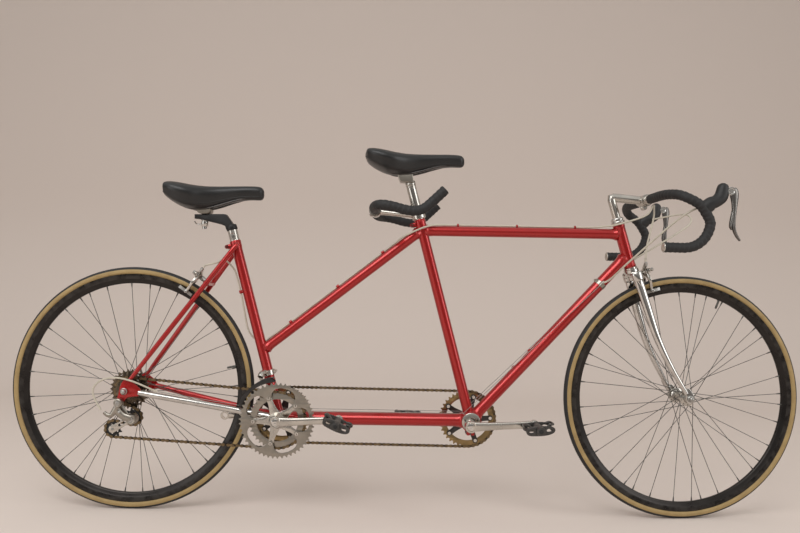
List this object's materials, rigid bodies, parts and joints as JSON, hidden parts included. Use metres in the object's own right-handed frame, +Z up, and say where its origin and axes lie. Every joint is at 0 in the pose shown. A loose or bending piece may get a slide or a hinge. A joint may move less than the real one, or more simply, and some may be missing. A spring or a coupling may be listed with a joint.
{
  "type": "tandem road bike",
  "caption": "Tandem road bike with drop bar for the captain, horn bar for the stoker, timing chain on the left and geared chain drive on the right.",
  "frame": {"origin": "on the floor, midway between the axles", "axes": "+X forward, +Y to the riders' left, +Z up"},
  "size_m": [2.1987, 0.4516, 1.0105],
  "materials": {
    "red_paint": "deep metallic red enamel, glossy",
    "chrome": "bright plated steel",
    "polished_alloy": "polished and silver-anodised alloy",
    "steel": "satin steel",
    "dark_rim": "dark anodised, satin",
    "tyre": "black rubber with a tan casing band",
    "chain": "oiled, dark bronze",
    "cogs": "oiled, dark bronze",
    "saddle": "smooth black cover",
    "bar_tape": "ribbed black tape",
    "hood_rubber": "matt black",
    "cable_housing": "cream white housing",
    "lever_grey": "grey-silver, polished edges",
    "cage_grey": "dark grey"
  },
  "bodies": {
    "frame": {"bottom_tube": "red_paint", "captain_seat_tube": "red_paint", "chainstay_left": "red_paint", "chainstay_right": "chrome", "down_tube": "red_paint", "head_tube": "red_paint", "middle_tube": "red_paint", "seatstay_left": "red_paint", "seatstay_right": "red_paint", "stoker_seat_tube": "red_paint", "top_tube": "red_paint", "eccentric_insert": "polished_alloy", "front_derailleur_clamp": "polished_alloy", "rear_axle": "steel", "rear_shift_loop": "cable_housing", "rear_brake_cable": "cable_housing", "rear_shift_cable": "cable_housing", "front_shift_cable": "cable_housing", "timing_chain": "chain", "drive_chain": "chain"},
    "captain_post": {"captain_seatpost": "polished_alloy", "captain_saddle": "saddle", "stoker_stem": "polished_alloy", "stoker_bar": "bar_tape"},
    "stoker_post": {"stoker_seatpost": "polished_alloy", "stoker_saddle": "saddle"},
    "steering": {"fork": "chrome", "headset_upper_race": "chrome", "stem": "polished_alloy", "drop_handlebar": "bar_tape", "brake_hood_left": "hood_rubber", "brake_hood_right": "hood_rubber", "front_axle": "steel", "front_brake_cable": "cable_housing"},
    "left_lever": {"brake_lever_left": "lever_grey"},
    "right_lever": {"brake_lever_right": "lever_grey"},
    "front_arm_left": {"front_brake_arm_left": "polished_alloy"},
    "front_arm_right": {"front_brake_arm_right": "polished_alloy"},
    "rear_arm_left": {"rear_brake_arm_left": "polished_alloy"},
    "rear_arm_right": {"rear_brake_arm_right": "polished_alloy"},
    "front_wheel": {"front_tyre": "tyre", "front_rim": "dark_rim", "front_hub_and_spokes": "polished_alloy"},
    "rear_wheel": {"rear_tyre": "tyre", "rear_rim": "dark_rim", "rear_hub_and_spokes": "polished_alloy"},
    "front_qr": {"front_quick_release_lever": "chrome"},
    "rear_qr": {"rear_quick_release_lever": "chrome"},
    "cassette_body": {"cassette": "cogs"},
    "captain_cranks": {"captain_timing_crankset": "polished_alloy", "captain_right_crank": "polished_alloy"},
    "stoker_cranks": {"stoker_timing_crankset": "polished_alloy", "stoker_right_crank": "polished_alloy", "drive_chainrings": "polished_alloy"},
    "captain_right_pedal_body": {"captain_right_pedal": "steel"},
    "captain_left_pedal_body": {"captain_left_pedal": "steel"},
    "stoker_right_pedal_body": {"stoker_right_pedal": "steel"},
    "rear_mech": {"rear_derailleur": "polished_alloy"},
    "rear_cage": {"rear_derailleur_cage": "polished_alloy"},
    "front_mech": {"front_derailleur_cage": "cage_grey"}
  },
  "joints": [
    {"name": "steering_turn", "type": "hinge", "parent": "frame", "child": "steering", "pos_m": [0.61728, 0, 0.68344], "axis": [-0.284, 0, 0.9588], "range_deg": [-50, 40], "deforming": ["rear_brake_cable", "front_shift_cable", "rear_shift_cable"]},
    {"name": "front_wheel_spin", "type": "hinge", "parent": "steering", "child": "front_wheel", "pos_m": [0.76385, 0.00366, 0.33595], "axis": [-0.0836, 0.9962, -0.0248], "continuous": true},
    {"name": "rear_wheel_spin", "type": "hinge", "parent": "frame", "child": "rear_wheel", "pos_m": [-0.764, 0, 0.336], "axis": [0, 1, 0], "continuous": true},
    {"name": "captain_crank_spin", "type": "hinge", "parent": "frame", "child": "captain_cranks", "pos_m": [0.17104, 0, 0.256], "axis": [0, 1, 0], "continuous": true, "deforming": ["timing_chain", "drive_chain"]},
    {"name": "stoker_crank_spin", "type": "hinge", "parent": "frame", "child": "stoker_cranks", "pos_m": [-0.356, 0, 0.2594], "axis": [0, 1, 0], "continuous": true, "deforming": ["timing_chain", "drive_chain"]},
    {"name": "cassette_spin", "type": "hinge", "parent": "frame", "child": "cassette_body", "pos_m": [-0.764, 0, 0.336], "axis": [0, 1, 0], "continuous": true, "deforming": ["drive_chain"]},
    {"name": "captain_right_pedal_spin", "type": "hinge", "parent": "captain_cranks", "child": "captain_right_pedal_body", "pos_m": [0.34077, -0.0942, 0.26549], "axis": [0, 1, 0], "continuous": true},
    {"name": "captain_left_pedal_spin", "type": "hinge", "parent": "captain_cranks", "child": "captain_left_pedal_body", "pos_m": [0.0013, 0.0942, 0.24651], "axis": [0, 1, 0], "continuous": true},
    {"name": "stoker_right_pedal_spin", "type": "hinge", "parent": "stoker_cranks", "child": "stoker_right_pedal_body", "pos_m": [-0.18627, -0.0942, 0.26889], "axis": [0, 1, 0], "continuous": true},
    {"name": "right_lever_pull", "type": "hinge", "parent": "steering", "child": "right_lever", "pos_m": [0.81184, -0.18438, 0.88797], "axis": [-0.0836, 0.9962, -0.0248], "range_deg": [0, 22], "stiffness_Nm_per_rad": 2},
    {"name": "left_lever_pull", "type": "hinge", "parent": "steering", "child": "left_lever", "pos_m": [0.77758, 0.22406, 0.87782], "axis": [-0.0836, 0.9962, -0.0248], "range_deg": [0, 22], "stiffness_Nm_per_rad": 2},
    {"name": "front_right_arm_close", "type": "hinge", "parent": "steering", "child": "front_arm_right", "pos_m": [0.62097, 0, 0.67097], "axis": [0.9552, 0.0872, 0.2829], "range_deg": [0, 1.31], "deforming": ["front_brake_cable"]},
    {"name": "front_left_arm_close", "type": "hinge", "parent": "steering", "child": "front_arm_left", "pos_m": [0.62097, 0, 0.67097], "axis": [0.9552, 0.0872, 0.2829], "range_deg": [-1.31, 0], "deforming": ["front_brake_cable"]},
    {"name": "rear_left_arm_close", "type": "hinge", "parent": "frame", "child": "rear_arm_left", "pos_m": [-0.55901, 0, 0.6295], "axis": [-0.8082, 0, 0.5889], "range_deg": [0, 1.31], "deforming": ["rear_brake_cable"]},
    {"name": "rear_right_arm_close", "type": "hinge", "parent": "frame", "child": "rear_arm_right", "pos_m": [-0.55901, 0, 0.6295], "axis": [-0.8082, 0, 0.5889], "range_deg": [-1.31, 0], "deforming": ["rear_brake_cable"]},
    {"name": "rear_quick_release_open", "type": "hinge", "parent": "frame", "child": "rear_qr", "pos_m": [-0.764, 0.0884, 0.336], "axis": [-0.9371, 0, -0.3489], "range_deg": [0, 160]},
    {"name": "front_quick_release_open", "type": "hinge", "parent": "steering", "child": "front_qr", "pos_m": [0.75813, 0.0718, 0.33426], "axis": [-0.859, -0.0846, -0.5049], "range_deg": [0, 160]},
    {"name": "rear_mech_swing", "type": "hinge", "parent": "frame", "child": "rear_mech", "pos_m": [-0.776, 0, 0.306], "axis": [0, 1, 0], "range_deg": [0, 30], "stiffness_Nm_per_rad": 2, "deforming": ["drive_chain", "rear_shift_loop"]},
    {"name": "rear_cage_swing", "type": "hinge", "parent": "rear_mech", "child": "rear_cage", "pos_m": [-0.742, 0, 0.262], "axis": [0, -1, 0], "range_deg": [0, 60], "stiffness_Nm_per_rad": 1, "deforming": ["drive_chain"]},
    {"name": "front_mech_slide", "type": "slide", "parent": "frame", "child": "front_mech", "axis": [0, 1, 0], "range_m": [-0.0075, 0.0015], "stiffness_N_per_m": 200, "deforming": ["drive_chain"]},
    {"name": "captain_post_slide", "type": "slide", "parent": "frame", "child": "captain_post", "axis": [-0.2614, 0, 0.9652], "range_m": [0, 0.05]},
    {"name": "stoker_post_slide", "type": "slide", "parent": "frame", "child": "stoker_post", "axis": [-0.2614, 0, 0.9652], "range_m": [-0.02, 0.045]}
  ],
  "couplings": [
    {"joint": "stoker_crank_spin", "follows": "captain_crank_spin", "ratio": 1},
    {"joint": "cassette_spin", "follows": "captain_crank_spin", "ratio": 2.2353},
    {"joint": "front_right_arm_close", "follows": "left_lever_pull", "ratio": 0.059091},
    {"joint": "front_left_arm_close", "follows": "left_lever_pull", "ratio": -0.059091},
    {"joint": "rear_left_arm_close", "follows": "right_lever_pull", "ratio": 0.059091},
    {"joint": "rear_right_arm_close", "follows": "right_lever_pull", "ratio": -0.059091}
  ]
}
